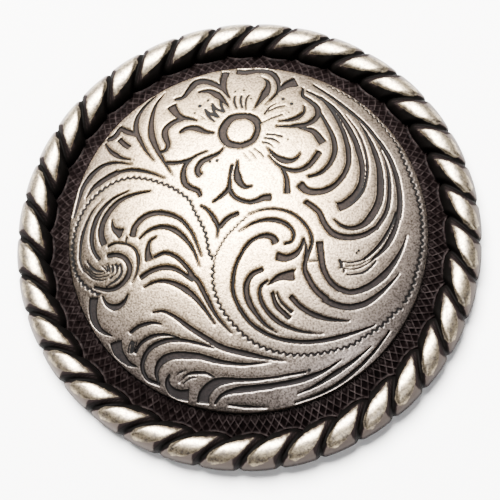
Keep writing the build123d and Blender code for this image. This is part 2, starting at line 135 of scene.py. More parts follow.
LEFT_SCROLL = (
    (0.4, 2.8, 1.8, (-65, 23.8), (-74.8, 19.8), (-82.2, 12.4), (-85.9, 3), (-86.3, -4.6),
     (-84.5, -10.2), (-81.3, -15)),
    (0.6, 3.2, 3.6, (-52.4, 22), (-62, 21.2), (-70.8, 18), (-77, 11.8), (-80.2, 5), (-80.6, -1),
     (-78.8, -6.6)),
    (0.2, 1.7, 0.7, (-80.6, 20.8), (-86.4, 14.4), (-90.2, 6.6), (-92.4, -1), (-93.2, -8),
     (-92.9, -15), (-90.5, -20.4)),
    (2.4, 3, 1.6, (-76.8, -13.2), (-71.4, -13.2), (-67.1, -15.1), (-64.4, -18.6), (-63.5, -22.2),
     (-64.7, -26), (-67.3, -29.3), (-70.8, -31.6), (-75, -32.4), (-79.2, -31.7), (-84.6, -29.8)),
    (0.3, 2.2, 4.6, (-74.6, 7.6), (-73.4, 2.4), (-69.6, -0.8)),
    (4.2, 3, 0.2, (-69.8, 0.6), (-69.8, -1.5), (-70.3, -4)),
    (2, 2, 1, (-71, 0), (-69, 0.6), (-67.4, 1.4)),
    (1.2, 0.7, 1, (-76.6, -7.9), (-73.6, -6.8), (-71.4, -6.5), (-65.9, -7.6)),
    (0.9, 1.9, 0.4, (-65.9, -7.6), (-63, -9.1), (-60.6, -11.2), (-59.1, -14.2), (-58.4, -17.6),
     (-58.6, -21.2), (-59.5, -25), (-62.2, -30.1)),
    (0.8, 0.8, 0.6, (-65.1, -3.6), (-65.7, -5.4), (-65.8, -8)),
    (3.6, 2.2, 0.6, (-62.2, -3.8), (-60.6, 2), (-55.4, 7), (-47.6, 8.6), (-36, 4.6),
     (-28.4, -4.2), (-22.8, -18.4)),
    (1, 2.8, 0.3, (-58.2, -5.6), (-53.6, -1.8), (-46.4, 0.2), (-38.8, -1.8), (-32, -7.6),
     (-27, -15), (-23.8, -24.4)),
    (0.6, 2, 4.6, (-48.4, -5.4), (-52, -7.6), (-53, -11), (-53, -14.8), (-52.2, -18.4)),
    (1.6, 2, 2.2, (-49.6, -16.8), (-43.4, -15), (-37.4, -17.4), (-31.6, -23), (-26.6, -30.2)),
    (2.4, 2.6, 1.6, (-57.4, -27.8), (-51, -24.4), (-43.4, -23), (-36.6, -24.8), (-27.6, -31.4)),
    (2.6, 2.2, 0.3, (-30, -27), (-24.8, -32), (-20.6, -40), (-15, -50.6), (-6.6, -60.8)),
    (0.6, 3.2, 0.5, (-55.4, -33.2), (-49.4, -30.8), (-42.6, -30.8), (-34.4, -34.2),
     (-26.8, -40.2), (-21, -47.4), (-15.6, -55.6)),
)
LOWER_LEAVES = (
    (0.4, 3.6, 0.6, (-79.6, -35.4), (-77, -40), (-72, -42.4), (-67.4, -40.6), (-64.4, -35.8)),
    (5.2, 3.6, 0.6, (-84.6, -35.8), (-85.4, -42), (-84.4, -48.4), (-80.6, -54), (-74, -57.8)),
    (7, 4.2, 0.6, (-72, -61), (-70.6, -66.6), (-67.6, -70.6), (-64.4, -73.4), (-60.4, -75)),
    (1.8, 1.9, 0.8, (-63.6, -57), (-58.6, -54), (-53, -52.8), (-49.4, -52.8), (-45.6, -53.8)),
    (1.2, 2, 0.5, (-61, -68), (-57.6, -63.2), (-52, -60.2), (-44.4, -59.4), (-35.4, -61.6)),
    (1.6, 2.6, 0.8, (-47.4, -85.2), (-54.4, -81.8), (-57, -74.6), (-53, -66.8), (-43.6, -62.8),
     (-32, -63.4), (-16.4, -67.8)),
    (0.8, 4, 3.8, (-48, -84), (-49, -79), (-46.4, -73.8), (-41, -71), (-32, -70.8)),
    (3.8, 2, 0.4, (-34, -70.8), (-24, -72), (-14.6, -74.8), (0, -76.8), (14.6, -75.8)),
    (0.8, 2.2, 2.8, (-50.4, -47.2), (-45, -46.9), (-38.4, -50), (-29.6, -56.6), (-16, -65.6)),
    (2.8, 2.8, 0.3, (-18, -64.6), (-10, -68.4), (0, -71), (11.6, -73.6), (22.6, -75.4)),
    (0.8, 4, 6, (-41.6, -80.2), (-43, -84.4), (-41, -88.6), (-36.8, -91), (-31.4, -91.6)),
    (0.4, 1.6, 0.8, (-36.4, -85), (-31.6, -81), (-25.6, -80.4), (-21, -80.8), (-16.8, -83)),
    (6.6, 5, 2.4, (-23.4, -96), (-22.6, -91.8), (-19.4, -88), (-14.6, -85.6), (-6, -84.6)),
    (2.2, 1.1, 1, (-8, -84.8), (4, -84.8), (14, -84), (24, -82.4), (33.4, -80.8)),
    (0.8, 3.4, 2.8, (-17, -96.8), (-13.2, -92.6), (-6, -90.2), (4, -89.2), (15, -88)),
    (2.6, 2.8, 0.4, (13, -88.2), (24, -86.4), (34, -83.8), (44, -79.6), (52.4, -74.2)),
    (0.4, 2.6, 0.4, (28.4, -92.2), (39, -87.4), (49.4, -81), (59.6, -74.2), (69, -66.4)),
    (0.6, 1.9, 0.8, (27, -96.6), (41, -91.6), (52, -85.6), (62.4, -77.4), (70.6, -69),
     (75.4, -62.8), (79.2, -57.6)),
    (0.6, 1.4, 0.4, (-9.4, -97.4), (0, -98.4), (12, -99)),
)
MIDDLE_SCROLL = (
    (0.8, 2.4, 0.3, (-23.4, 11), (-19.4, 8), (-16, 3.4), (-13.6, -2.4), (-14.2, -8.8)),
    (2.2, 2.4, 2.4, (-2.2, 5.6), (-7.6, 3.2), (-12.8, -2.2)),
    (0.4, 1.2, 1.8, (3.4, 4.4), (10, 7), (18, 7.7), (27.5, 5), (35, -1.8), (38.2, -10),
     (35.9, -18)),
    (0.2, 2.4, 1, (-1.8, -5.2), (6.4, -0.2), (15, 1.5), (23.4, -0.6), (28, -5.6), (27.4, -10.4),
     (23, -12.4)),
    (3.8, 2, 1.6, (18.4, -12), (16.6, -8.8), (12.2, -7.6), (5.6, -10), (0, -16)),
    (1.4, 1.8, 1.6, (1.2, -14.6), (-3, -22.4), (-5.2, -31), (-5, -40), (-1.4, -48.6)),
    (1.6, 1.8, 2, (-2, -47.6), (3.6, -55), (11.4, -60.6), (21.4, -64.2), (33, -65.4)),
    (2, 2.2, 0.5, (31, -65.4), (41, -64.6), (51, -62.4), (61.6, -59), (71.4, -55)),
    (2.4, 3, 0.4, (11, -26.4), (5, -29.4), (2, -35.2), (3, -43.4), (7.6, -51.2), (12.8, -57),
     (18.6, -61)),
    (1.4, 2.3, 0.3, (13.6, -32.6), (9.6, -36.4), (9.8, -43), (14, -50.2), (21.4, -56.2),
     (31.4, -59.8), (43.4, -61)),
    (1.6, 2.4, 2.2, (16, -39), (18.4, -46), (25.4, -53)),
    (0.8, 1.2, 1.4, (18.4, -39.4), (21, -44.6), (26.6, -49.8)),
    (2.4, 2.6, 0.6, (25.8, -41), (31, -46.4), (38, -50.6), (46.6, -53), (57.6, -53.6)),
    (4.4, 3, 0.3, (18.8, -19.2), (23.6, -20.2), (28.4, -18.4), (31.8, -14.4), (33.7, -8.4)),
    (0.4, 1.4, 2.2, (33.8, -9.4), (35, -15.4), (34.6, -20.6)),
    (1.8, 2.8, 3.2, (35.8, -18), (33.8, -25.4), (36.3, -32.1), (40, -37.8), (45.5, -42.4)),
    (3.2, 3.2, 0.4, (43.6, -42.2), (50.6, -45.2), (58, -46), (66.4, -43.6), (74, -38.2),
     (80, -32.2), (85.2, -26.2)),
    (3.8, 3, 2.6, (42.2, -10.8), (42.8, -18), (44, -25.6), (47.6, -32.6), (53, -37.2)),
    (2.6, 3.8, 0.3, (51.4, -35.9), (58, -37.9), (66.4, -35.5), (75, -29.4), (81.6, -21.7),
     (86.6, -13), (90, -4.2)),
    (0.5, 0.6, 0.5, (36.2, -22), (38.5, -21.6), (41, -21.4)),
    (0.3, 3.4, 6, (13.2, -35.3), (20, -30.8), (27.8, -29.5)),
    (1.6, 1.2, 0.2, (26, -28.6), (27.6, -27.6), (29, -26.4)),
)
RIGHT_FEATHERS = (
    (1.4, 3, 1.4, (42.4, 69.4), (46.4, 61.4), (50.2, 52), (50.9, 43.6), (47.8, 35.2),
     (42.6, 29.6), (36.2, 27.2)),
    (0.8, 2.2, 2.8, (35, 83.8), (44.4, 77.6), (51.2, 67.6), (56, 56), (58.6, 45)),
    (2.8, 2.6, 4.4, (58.3, 47), (58.3, 36), (53.6, 25.8), (46.8, 19.8), (39.6, 18.2), (35, 19.2),
     (31.6, 22.8)),
    (0.6, 2.6, 3.2, (43, 80), (51, 72), (57.4, 61.8), (62.2, 51.6), (65.2, 41)),
    (3.2, 2.8, 5, (65, 42.6), (66.2, 33), (64.8, 23.4), (61.6, 17.2), (58, 13.2), (55.6, 11),
     (52.6, 9.8)),
    (0.3, 1.3, 1.6, (57.4, 67.6), (64.4, 56), (68.2, 43), (69, 33), (66.8, 21.6), (62.4, 14.6),
     (57, 10)),
    (0.3, 2.6, 3.8, (64.4, 64.4), (69, 55.6), (72.8, 46), (75.4, 36), (76.2, 26)),
    (3.8, 4, 0.6, (76.2, 28), (75.2, 15.4), (70.4, 5.2), (65.5, -0.2), (59.5, -2.2), (54.5, -1.2),
     (50.2, 2.4)),
    (0.4, 2.1, 2.3, (76.4, 47.6), (80, 35.6), (81, 22.6), (79, 9), (73, -1.6)),
    (2.3, 3.4, 2.6, (74, -0.4), (66.4, -5.6), (57.4, -7.6), (49.6, -5.8), (44.8, 0), (41.8, 6.6),
     (34.7, 12.4)),
    (0.8, 1.8, 1.6, (38.8, 88.2), (48.4, 80.8), (58.6, 71.8), (68.6, 61.8), (76.4, 50.8)),
    (1.8, 2.6, 3, (75.6, 52.4), (81.6, 41.4), (85.4, 28.6), (86.6, 15), (85.4, 5)),
    (1.2, 1.9, 1.2, (84.3, 8.6), (81.4, 0.6), (77.6, -6.7), (74.4, -11.3), (70.5, -15.6),
     (66.1, -19.5)),
    (2.2, 2.8, 1, (85.6, 6.6), (83.3, -1.5), (80.7, -7.2), (77.8, -12.1), (74, -16.2), (70.3, -19.6)),
)
# Hairlines in the petals and the scroll, cut in the same way but shallow.
HAIRLINES = (
    (1.6, 1.6, 1.2, (-13.8, 78.5), (-13, 73.5), (-11.2, 69.6)),
    (1, 1.6, 1.4, (-18.8, 76.3), (-15.8, 72), (-11.2, 69.6)),
    (0.6, 1.4, 1.2, (-18.8, 76.3), (-17.6, 71), (-14.2, 66)),
    (1, 1.8, 1.2, (-22.7, 72.4), (-19.3, 68.9), (-14.2, 66)),
    (0.8, 1.6, 1, (-22.7, 72.4), (-20.3, 67.3), (-16.5, 63.3)),
    (0.2, 0.6, 0.2, (-25.3, 68.5), (-23.7, 66.8), (-22, 65.2)),
    (0.8, 1.2, 1, (-5.6, 80.8), (-5.7, 76), (-4.2, 71.6)),
    (1.2, 1.2, 1, (-1.7, 80.8), (-2.2, 77), (-1, 71.6)),
    (0.9, 1, 0.5, (2.6, 81), (1, 77.5), (1, 70)),
    (0.4, 0.9, 0.8, (18.3, 75), (14.5, 72), (11.5, 67)),
    (0.9, 1, 0.6, (23.3, 73.2), (18.5, 71.8), (13.8, 69.2)),
    (0.9, 0.8, 0.6, (21.9, 67.1), (17.5, 65.3), (10.5, 61.8)),
    (1.2, 0.9, 1.2, (13, 53.8), (17.5, 53.6), (22, 52.4)),
    (1, 1.2, 0.6, (11.6, 51.6), (17, 50.6), (20.6, 48)),
    (1, 0.9, 0.4, (10.7, 49), (14.8, 47.6), (17.5, 45)),
    (0.6, 0.8, 0.5, (6, 45.2), (9.6, 42), (11.8, 39.2)),
    (0.4, 0.6, 0.4, (3.2, 43.8), (5.8, 41), (7.8, 37.8)),
    (0.3, 0.4, 0.3, (0.3, 42.4), (2.2, 39.6), (4.2, 37.2)),
    (0.4, 0.75, 0.4, (-91.1, -19.3), (-89.9, -20.6), (-88.7, -22.0), (-87.4, -23.4),
     (-85.9, -24.7), (-84.5, -25.6), (-82.5, -26.2), (-80.8, -26.6), (-79.3, -26.8), (-77.6, -26.6)),
    (0.4, 0.75, 0.4, (-90.5, -17.1), (-89.5, -19.0), (-88.2, -20.5), (-87.1, -21.8),
     (-86.0, -23.0), (-84.7, -23.9), (-83.5, -24.6), (-82.0, -25.0), (-80.5, -25.0),
     (-79.1, -25.0), (-77.4, -24.8), (-75.9, -24.2)),
    (0.3, 0.6, 0.3, (-89.1, -17.3), (-88.1, -18.8), (-86.8, -20.3), (-85.7, -21.5),
     (-84.5, -22.5), (-83.2, -23.2), (-82.0, -23.5), (-80.5, -23.5), (-79.1, -23.3), (-77.9, -22.8)),
    (0.3, 1.5, 0.4, (-89.5, -13.7), (-88.5, -15.7), (-87.2, -17.5), (-86.0, -19.1),
     (-84.5, -20.3), (-82.8, -21.3), (-80.8, -21.9), (-78.6, -22.0)),
    (0.5, 0.75, 0.3, (-80.0, -18.5), (-79.0, -19.6), (-78.1, -20.6), (-77.4, -21.6), (-77.0, -22.7)),
    (0.6, 0.75, 0.3, (-78.1, -18.0), (-77.3, -19.1), (-76.6, -20.3), (-76.2, -21.6), (-76.2, -22.8)),
    (0.6, 0.7, 0.3, (-76.7, -17.5), (-76.2, -18.6), (-75.6, -20.0), (-75.2, -21.4),
     (-75.1, -22.8), (-75.6, -23.9), (-76.4, -24.6)),
    (1.2, 1.4, 0.4, (-74.0, -18.8), (-73.6, -20.0), (-73.5, -21.1), (-73.6, -22.5), (-74.1, -23.8)),
    (1.1, 0.9, 0.4, (-72.1, -18.5), (-71.5, -19.7), (-71.2, -21.0), (-71.1, -22.5),
     (-71.6, -24.1), (-72.3, -25.0)),
    (0.3, 0.9, 0.5, (-72.9, -24.8), (-73.7, -25.5), (-74.6, -26.1), (-75.5, -26.5)),
    (0.7, 0.6, 0.3, (-71.0, -18.9), (-70.5, -20.1), (-70.4, -21.5), (-70.5, -22.6)),
    (1, 1.5, 0.4, (-69.5, -18.8), (-68.6, -21.1), (-68.4, -23.7), (-69.7, -26.3), (-71.9, -28),
     (-74.4, -29.3), (-77.2, -30.6)),
    (0.7, 0.6, 0.4, (-62.9, -61.4), (-63.5, -62.7), (-64.2, -64.0), (-64.7, -65.2),
     (-64.9, -66.3), (-65.1, -67.8)),
    (0.8, 0.6, 0.9, (-62.2, -61.7), (-62.5, -63.0), (-62.9, -64.3), (-63.2, -65.8),
     (-63.4, -67.1), (-63.5, -68.1)),
    (0.8, 0.6, 0.9, (-61.3, -62.1), (-61.5, -63.4), (-61.9, -64.8), (-62.2, -66.3), (-62.4, -68.0)),
    (0.6, 0.6, 0.4, (-59.9, -62.2), (-60.2, -63.5), (-60.7, -64.8), (-61.3, -66.0), (-61.7, -67.3)),
    (0.3, 0.8, 0.3, (-34.4, -86), (-30.4, -83.4), (-26, -82.6)),
    (0.3, 0.8, 0.3, (-38, -81.4), (-35.4, -79.8), (-32, -79)),
    (0.6, 0.9, 0.9, (52.7, -20.8), (54.0, -21.5), (56.0, -21.8), (58.2, -21.9), (60.5, -21.6),
     (62.7, -21.0), (64.5, -20.4), (66.3, -19.2)),
    (0.4, 0.5, 0.5, (56.0, -23.9), (57.8, -24.1), (59.8, -23.8), (61.8, -23.3), (63.6, -22.9),
     (65.3, -22.1), (66.7, -21.1), (68.0, -20.3), (69.2, -19.2)),
    (0.4, 0.6, 0.5, (54.6, -24.9), (56.0, -25.3), (57.7, -25.6), (59.5, -25.7), (61.7, -25.2),
     (64.0, -24.5), (65.3, -23.8), (66.4, -23.2), (67.6, -22.4), (69.1, -21.3), (70.5, -20.3),
     (71.4, -19.5)),
    (0.7, 1.1, 0.9, (56.5, -28.6), (58.1, -28.8), (59.9, -28.5), (61.7, -28.1), (64.3, -27.6),
     (66.1, -26.9), (67.5, -26.0), (68.8, -24.7), (70.2, -23.6), (71.3, -22.1), (72.5, -20.6),
     (72.7, -19.6)),
    (1.2, 1.6, 1.4, (52.8, -20.7), (53.7, -22.2), (54.0, -23.7), (53.9, -25.3)),
    (0.9, 1.1, 0.8, (55.3, -25.0), (55.3, -26.4), (55.4, -27.6)),
    (0.5, 0.5, 0.2, (53.7, -22.2), (52.6, -22.0)),
    (0.5, 0.5, 0.2, (53.8, -25.1), (52.6, -25.4)),
)
# Zigzag lines, fine as if pricked with a wheel: half a step, swing and width, then points.
WRIGGLES = (
    (1.75, 0.75, 1.15, (-16.3, -20.5), (-18.3, -17.5), (-19.5, -11), (-21, -4.5), (-24, 2), (-27, 8),
     (-30, 14.5), (-36, 20), (-41, 23.5), (-47, 26.5), (-53, 29), (-60, 31), (-67, 31.5), (-74, 30),
     (-80, 27), (-86, 22.5), (-91, 17), (-94.5, 10), (-96.8, 3), (-98, -5), (-97.5, -13), (-95.5, -21),
     (-91.6, -26.9), (-87.5, -30.7), (-84.3, -33.1), (-80.9, -34.5)),
    (1.3, 0.5, 0.6, (2.5, 3.3), (-3, -2), (-8, -7), (-12, -13), (-15, -19), (-16, -24)),
    (1.85, 0.85, 0.95, (-16, -24), (-16.5, -32), (-15.5, -38), (-12.5, -46), (-9.5, -51), (-5, -56.5),
     (0, -61.5), (5, -65.5), (11, -68.5), (18, -70.7), (26, -72), (34, -72), (42, -71), (50, -69),
     (58, -66.5), (65, -62), (72, -57.5), (78, -52.5), (82, -48), (86, -45)),
    (1.9, 0.9, 0.95, (87.5, -42.5), (90, -38), (92.5, -33), (94, -27), (96, -20), (97.8, -12),
     (98.5, -4), (98.5, 4), (97.8, 12), (96.3, 20), (94, 28), (92, 34), (89, 42), (86.5, 50)),
    (1.8, 0.6, 0.5, (86.5, 50), (81, 58), (76, 65), (70, 71), (64, 77.5), (57, 82), (47, 88)),
)
# Casting pits: where each one is, and its radius.
DOTS = (
    (-5.5, 83.5, 0.65), (-0.5, 84.2, 0.6), (3.7, 78, 0.65), (-21, 78, 0.8), (-25.5, 74.5, 1.1),
    (-28.3, 70, 0.7), (-14.5, 37.8, 1.1), (-18.5, 37.2, 0.8), (21.8, 77.7, 0.95), (26.8, 74.2, 0.95),
    (25.3, 68.3, 0.55), (25, 50.3, 0.55), (35.3, -80, 0.8), (63.5, -15, 0.7), (62.2, -16.4, 0.6),
)


def through(points, steps=12):
    """A smooth line through a row of points, with this many steps to a stretch."""
    p = np.array(points, float)
    p = np.vstack([2 * p[0] - p[1], p, 2 * p[-1] - p[-2]])
    line = []
    for i in range(1, len(p) - 2):
        knots = [0.0]
        for j in range(3):
            knots.append(knots[-1] + math.sqrt(np.linalg.norm(p[i + j] - p[i + j - 1])))
        for t in np.linspace(knots[1], knots[2], steps, endpoint=False):
            a = [((knots[k + 1] - t) * p[i - 1 + k] + (t - knots[k]) * p[i + k])
                 / (knots[k + 1] - knots[k]) for k in range(3)]
            b = [((knots[k + 2] - t) * a[k] + (t - knots[k]) * a[k + 1])
                 / (knots[k + 2] - knots[k]) for k in range(2)]
            line.append(((knots[2] - t) * b[0] + (t - knots[1]) * b[1]) / (knots[2] - knots[1]))
    line.append(p[-2])
    return np.array(line)


def length_along(line):
    """How far each point of a line lies from its start, along the line."""
    return np.concatenate([[0], np.cumsum(np.linalg.norm(np.diff(line, axis=0), axis=1))])


# A cut counts for the places up to this many hundredths away from it.
reach = 9.0


def sink(distance, places, line, half_widths):
    """Lowers each place's distance to the edge of this square-ended cut, negative inside it."""
    near = np.where((places > line.min(0) - reach).all(1) & (places < line.max(0) + reach).all(1))[0]
    spots = places[near]
    best = np.full(len(spots), 1e9)
    for i in range(len(line) - 1):
        start, step = line[i], line[i + 1] - line[i]
        along = np.clip((spots - start) @ step / max(step @ step, 1e-12), 0, 1)
        away = np.linalg.norm(spots - start - along[:, None] * step, axis=1)
        gap = away - (half_widths[i] + (half_widths[i + 1] - half_widths[i]) * along)
        best = np.minimum(best, gap)
    # Just beyond an end, the distance is to the cut's straight end instead.
    for end, inner, half in ((line[0], line[1], half_widths[0]), (line[-1], line[-2], half_widths[-1])):
        outward = (end - inner) / max(np.linalg.norm(end - inner), 1e-9)
        over = (spots - end) @ outward
        beside = np.abs((spots - end) @ np.array((-outward[1], outward[0]))) - half
        close = (over > 0) & (np.linalg.norm(spots - end, axis=1) < 1.6 * half + 1.2)
        best = np.where(close, np.maximum(best, np.maximum(over, beside)), best)
    distance[near] = np.minimum(distance[near], best)


field_radius = 14.38
field_edge = 2.85
dome_rise = 3.23
dome_sphere = (field_radius ** 2 + dome_rise ** 2) / (2 * dome_rise)
dome_centre = field_edge + dome_rise - dome_sphere
hundredth = field_radius / 100
# The dome's plain rim lies just outside the field, a little nearer to +X.
rim_radius = 14.55 / hundredth
rim_middle = np.array((0.11, -0.05)) / hundredth

# A fine square grid is drawn out to a disc, and the cuts are sunk into it.
form = bmesh.new()
cells = 304
bmesh.ops.create_grid(form, x_segments=cells, y_segments=cells, size=1)
form.verts.ensure_lookup_table()
flat = np.array([v.co[:2] for v in form.verts])
across = flat[:, 0] * np.sqrt(1 - flat[:, 1] ** 2 / 2)
along = flat[:, 1] * np.sqrt(1 - flat[:, 0] ** 2 / 2)
places = np.stack([across, along], 1) * rim_radius + rim_middle
from_axis = np.linalg.norm(places, axis=1)
from_rim = rim_radius - np.linalg.norm(places - rim_middle, axis=1)

cut = np.full(len(places), reach)
prick = np.full(len(places), reach)
engraved = FLOWER + LEFT_LEAVES + LEFT_SCROLL + LOWER_LEAVES + MIDDLE_SCROLL + RIGHT_FEATHERS
for distance, rows in ((cut, engraved), (prick, HAIRLINES)):
    for row in rows:
        line = through(row[3:])
        run = length_along(line)
        halves = np.interp(run / run[-1], (0, 0.5, 1), row[:3]) / 2
        sink(distance, places, line, halves)
for half_step, swing, width, *points in WRIGGLES:
    line = through(points)
    run = length_along(line)
    turns = int(run[-1] / half_step)
    at = np.linspace(0, run[-1], turns + 1)
    middle = np.stack([np.interp(at, run, line[:, 0]), np.interp(at, run, line[:, 1])], 1)
    heading = np.gradient(middle, axis=0)
    heading /= np.linalg.norm(heading, axis=1)[:, None]
    side = np.stack([-heading[:, 1], heading[:, 0]], 1)
    bent = middle + side * (swing * (-1.0) ** np.arange(turns + 1))[:, None]
    wide, narrow = width * 0.62, width * 0.38
    for i in range(turns):
        ends = (wide, narrow) if i % 2 else (narrow, wide)
        sink(prick, places, bent[i:i + 2], np.array(ends))

# Flat-floored cuts with steep sides, and lands that roll off softly towards them and towards
# the dome's rim. Depths and widths are in mm, and the band along the rim is in hundredths.
wall_run = 0.11
floor_depth, prick_depth = 0.24, 0.07
roll_depth, roll_width = 0.035, 0.14
rim_roll_depth, rim_band = 0.05, 2.4
cut_mm = cut * hundredth
share = np.clip(0.5 - cut_mm / wall_run, 0, 1)
share = share * share * (3 - 2 * share)
roll = roll_depth * np.exp(-np.clip(cut_mm, 0, None) / roll_width)
rim_roll = rim_roll_depth * np.clip(1 - from_rim / rim_band, 0, 1) ** 2
height = dome_centre + np.sqrt(dome_sphere ** 2 - (from_axis * hundredth) ** 2)
prick_share = np.clip(0.5 - prick * hundredth / wall_run, 0, 1)
height = height - np.maximum(floor_depth * share, prick_depth * prick_share) - roll - rim_roll
cut_mm = np.minimum(cut_mm, prick * hundredth)
# Casting pits among the petals: black specks with no depth of their own.
for x, y, size in DOTS:
    speck = np.hypot(places[:, 0] - x, places[:, 1] - y) - size
    cut_mm = np.minimum(cut_mm, speck * hundredth)
for v, place, z in zip(form.verts, places, height):
    v.co = (place[0] * hundredth * MM, place[1] * hundredth * MM, z * MM)

# The skirt under the rim, and the hollow back with its boss and the post's socket.
skirt_foot = 1.34
boss_r, socket_r = 4.6, 2.6
back_profile = (
    (field_radius, 1.30), (13.2, 1.87), (12.0, 2.38), (10.0, 3.10), (8.0, 3.69), (6.0, 4.13),
    (boss_r, 4.36), (boss_r, 3.5), (socket_r, 3.5), (socket_r, 4.55), (0.0, 4.55),
)
rim = [e for e in form.edges if e.is_boundary]
skirt = bmesh.ops.extrude_edge_only(form, edges=rim)["geom"]
skirt_edges = [g for g in skirt if isinstance(g, bmesh.types.BMEdge)]
for v in {v for e in skirt_edges for v in e.verts}:
    v.co.z = skirt_foot * MM
back_points = [form.verts.new((r * MM, 0, z * MM)) for r, z in back_profile]
back_edges = [form.edges.new(pair) for pair in zip(back_points, back_points[1:])]
bmesh.ops.spin(form, geom=back_points + back_edges, cent=(0, 0, 0), axis=(0, 0, 1), angle=math.tau,
               steps=96, use_merge=True, use_duplicate=False)
bmesh.ops.remove_doubles(form, verts=[v for v in form.verts if math.hypot(v.co.x, v.co.y) < 0.001 * MM],
                         dist=0.001 * MM)
ring = [e for e in form.edges if e.is_boundary]
bmesh.ops.bridge_loops(form, edges=ring)
bmesh.ops.recalc_face_normals(form, faces=form.faces)

# The distance to the nearest cut stays on the mesh, for the blackening in the recesses.
dome_mesh = bpy.data.meshes.new("engraved_dome")
form.to_mesh(dome_mesh)
form.free()
farthest = 1.2
distance = np.full(len(dome_mesh.vertices), farthest, np.float32)
distance[:len(cut_mm)] = np.clip(cut_mm, -farthest, farthest)
layer = dome_mesh.attributes.new("cut", "FLOAT", "POINT")
layer.data.foreach_set("value", distance)
dome_mesh.polygons.foreach_set("use_smooth", [True] * len(dome_mesh.polygons))


def noise(tree, place, scale, detail, roughness=0.5):
    """Fine cloudy noise that keeps its place on the piece."""
    node = tree.nodes.new("ShaderNodeTexNoise")
    node.inputs["Scale"].default_value = scale
    node.inputs["Detail"].default_value = detail
    node.inputs["Roughness"].default_value = roughness
    tree.links.new(place.outputs["Object"], node.inputs["Vector"])
    return node.outputs["Fac"]


def distance_from(tree, place, point):
    """How far the surface lies from a point of the piece, in metres."""
    node = tree.nodes.new("ShaderNodeVectorMath")
    node.operation = "DISTANCE"
    node.inputs[1].default_value = point
    tree.links.new(place.outputs["Object"], node.inputs[0])
    return node.outputs["Value"]


def remap(tree, value, start, end, low=0.0, high=1.0, smooth=False):
    """A value that goes from low to high while another goes from start to end."""
    node = tree.nodes.new("ShaderNodeMapRange")
    node.interpolation_type = "SMOOTHSTEP" if smooth else "LINEAR"
    for socket, number in (("From Min", start), ("From Max", end), ("To Min", low), ("To Max", high)):
        node.inputs[socket].default_value = number
    tree.links.new(value, node.inputs["Value"])
    return node.outputs["Result"]


def times(tree, first, second):
    """One value multiplied by another."""
    node = tree.nodes.new("ShaderNodeMath")
    node.operation = "MULTIPLY"
    tree.links.new(first, node.inputs[0])
    tree.links.new(second, node.inputs[1])
    return node.outputs[0]


def stirred(tree, value, stirring, strength):
    """A value with a little noise added, so that its edges wander."""
    node = tree.nodes.new("ShaderNodeMath")
    node.operation = "MULTIPLY_ADD"
    node.inputs[1].default_value = strength
    tree.links.new(stirring, node.inputs[0])
    tree.links.new(value, node.inputs[2])
    return node.outputs[0]


def ramp(tree, value, stops):
    """A colour that follows a value through stops, each a place and its colour."""
    node = tree.nodes.new("ShaderNodeValToRGB")
    for index, (at, colour) in enumerate(stops):
        stop = node.color_ramp.elements[index] if index < 2 else node.color_ramp.elements.new(at)
        stop.position = at
        stop.color = (*colour, 1)
    tree.links.new(value, node.inputs["Fac"])
    return node.outputs["Color"]


def dimmed(tree, colour, brightness):
    """A colour scaled by a value."""
    node = tree.nodes.new("ShaderNodeVectorMath")
    node.operation = "SCALE"
    tree.links.new(colour, node.inputs[0])
    tree.links.new(brightness, node.inputs["Scale"])
    return node.outputs[0]


def roughen(tree, shader, height, strength, depth):
    """Small dents in the finish that follow a value."""
    node = tree.nodes.new("ShaderNodeBump")
    node.inputs["Strength"].default_value = strength
    node.inputs["Distance"].default_value = depth * MM
    tree.links.new(height, node.inputs["Height"])
    tree.links.new(node.outputs["Normal"], shader.inputs["Normal"])


# Antique silver: bright buffed lands, a thin worn rim at each cut, brown-black in the cuts, and black
# on each cut's walls, which is blackening and painted shade.
silver = bpy.data.materials.new("engraved_silver")
silver.use_nodes = True
tree = silver.node_tree
shader = tree.nodes["Principled BSDF"]
shader.inputs["Specular IOR Level"].default_value = 0.12
place = tree.nodes.new("ShaderNodeTexCoord")
distance_node = tree.nodes.new("ShaderNodeAttribute")
distance_node.attribute_name = "cut"
ragged = stirred(tree, distance_node.outputs["Fac"], noise(tree, place, 2600, 3), 0.05)
# Each cut's floor darkens towards its walls, and the walls are black: blackening with painted shade in
# the crease and on the steep walls.
tone = ramp(tree, remap(tree, ragged, -0.30, 0.30), (
    (0.0, (0.0124, 0.0084, 0.0078)), (0.32, (0.0104, 0.0069, 0.0064)),
    (0.42, (0.0012, 0.0006, 0.0005)), (0.55, (0.0012, 0.0006, 0.0005)),
    (0.585, (0.25, 0.20, 0.165)), (0.66, (0.44, 0.355, 0.285)), (1.0, (0.50, 0.396, 0.318)),
))
# Soft clouds of tarnish, the cast skin's grain and fine dark pits over the lands.
clouds = remap(tree, noise(tree, place, 650, 9, 0.72), 0.3, 0.75, 0.60, 1.15)
grain = noise(tree, place, 6500, 4)
grains = remap(tree, grain, 0.36, 0.62, 0.38, 1.28)
pit_node = tree.nodes.new("ShaderNodeTexVoronoi")
pit_node.inputs["Scale"].default_value = 1500
tree.links.new(place.outputs["Object"], pit_node.inputs["Vector"])
pits = remap(tree, remap(tree, pit_node.outputs["Distance"], 0.06, 0.20), 0, 1, 0.45, 1.0)
# Painted light: the lands are brightest about the flower and darken with painted shade down the dome's
# skirt, as the light falls.
painted_light_centre = (-0.0015, 0.0035, 0.006)
painted_skirt_shade = remap(tree, distance_from(tree, place, painted_light_centre), 0.008, 0.0182, 1.0, 0.36)
lands = times(tree, times(tree, times(tree, clouds, grains), pits), painted_skirt_shade)
